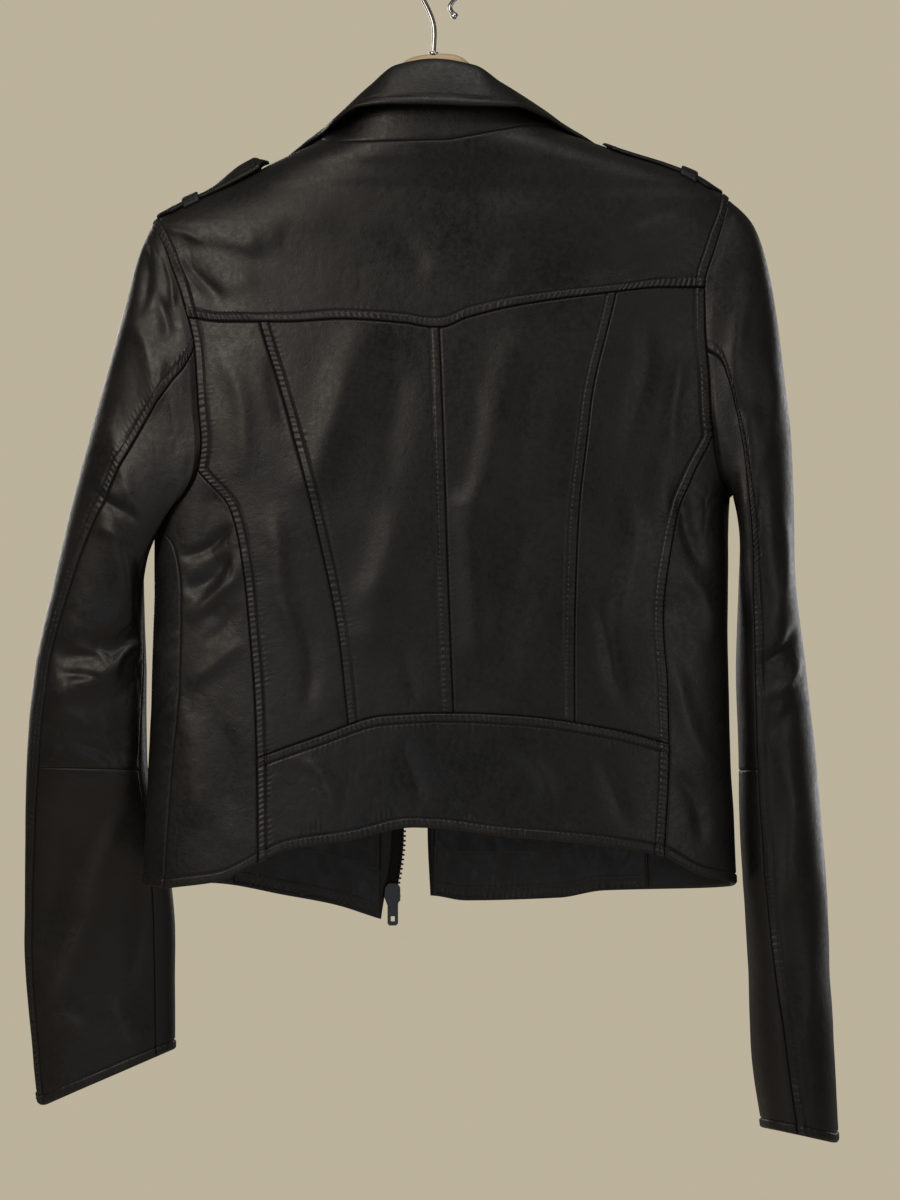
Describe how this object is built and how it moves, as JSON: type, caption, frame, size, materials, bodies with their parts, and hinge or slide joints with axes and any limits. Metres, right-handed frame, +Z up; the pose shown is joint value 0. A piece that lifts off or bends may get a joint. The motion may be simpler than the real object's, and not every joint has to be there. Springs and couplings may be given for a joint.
{
  "type": "leather biker jacket on a wooden hanger",
  "caption": "Cropped asymmetric leather biker jacket, open at the front, hanging on a wooden hanger by its steel hook.",
  "frame": {"origin": "inner top of the hook's bend, where a rail carries the hanger", "axes": "+Z up, +Y out of the jacket's front, +X to the wearer's right"},
  "size_m": [0.6158, 0.1498, 0.8936],
  "materials": {
    "leather": "semi-gloss soft nappa",
    "facing": "soft, matt",
    "lining": "thin satin cloth",
    "thread": "waxed polyester thread",
    "zip_tape": "woven tape",
    "zip_metal": "dark nickel",
    "hanger_wood": "clear lacquer",
    "hook_steel": "bright plated wire"
  },
  "bodies": {
    "jacket": {"back_yoke": "leather", "back_centre_left": "leather", "back_centre_right": "leather", "back_side_left": "leather", "back_side_right": "leather", "back_band": "leather", "side_panel_left": "leather", "side_panel_right": "leather", "front_left": "leather", "front_right": "leather", "sleeve_top_upper_left": "leather", "sleeve_top_upper_right": "leather", "sleeve_top_lower_left": "leather", "sleeve_top_lower_right": "leather", "sleeve_under_upper_left": "leather", "sleeve_under_upper_right": "leather", "sleeve_under_lower_left": "leather", "sleeve_under_lower_right": "leather", "collar_stand": "leather", "collar_fall": "leather", "lapel_left": "leather", "lapel_right": "leather", "epaulette_left": "leather", "epaulette_right": "leather", "epaulette_loop_left": "leather", "epaulette_loop_right": "leather", "facing_left": "facing", "facing_right": "facing", "zip_tape_left": "zip_tape", "zip_tape_right": "zip_tape", "zip_slider": "zip_metal", "hanger_wood": "hanger_wood", "hanger_hook": "hook_steel"},
    "zip_pull": {"zip_pull": "zip_metal"}
  },
  "joints": [
    {"name": "zip_pull_swing", "type": "hinge", "parent": "jacket", "child": "zip_pull", "pos_m": [-0.03772, 0.06045, -0.69852], "axis": [1, 0, 0], "range_deg": [0, 165]}
  ]
}
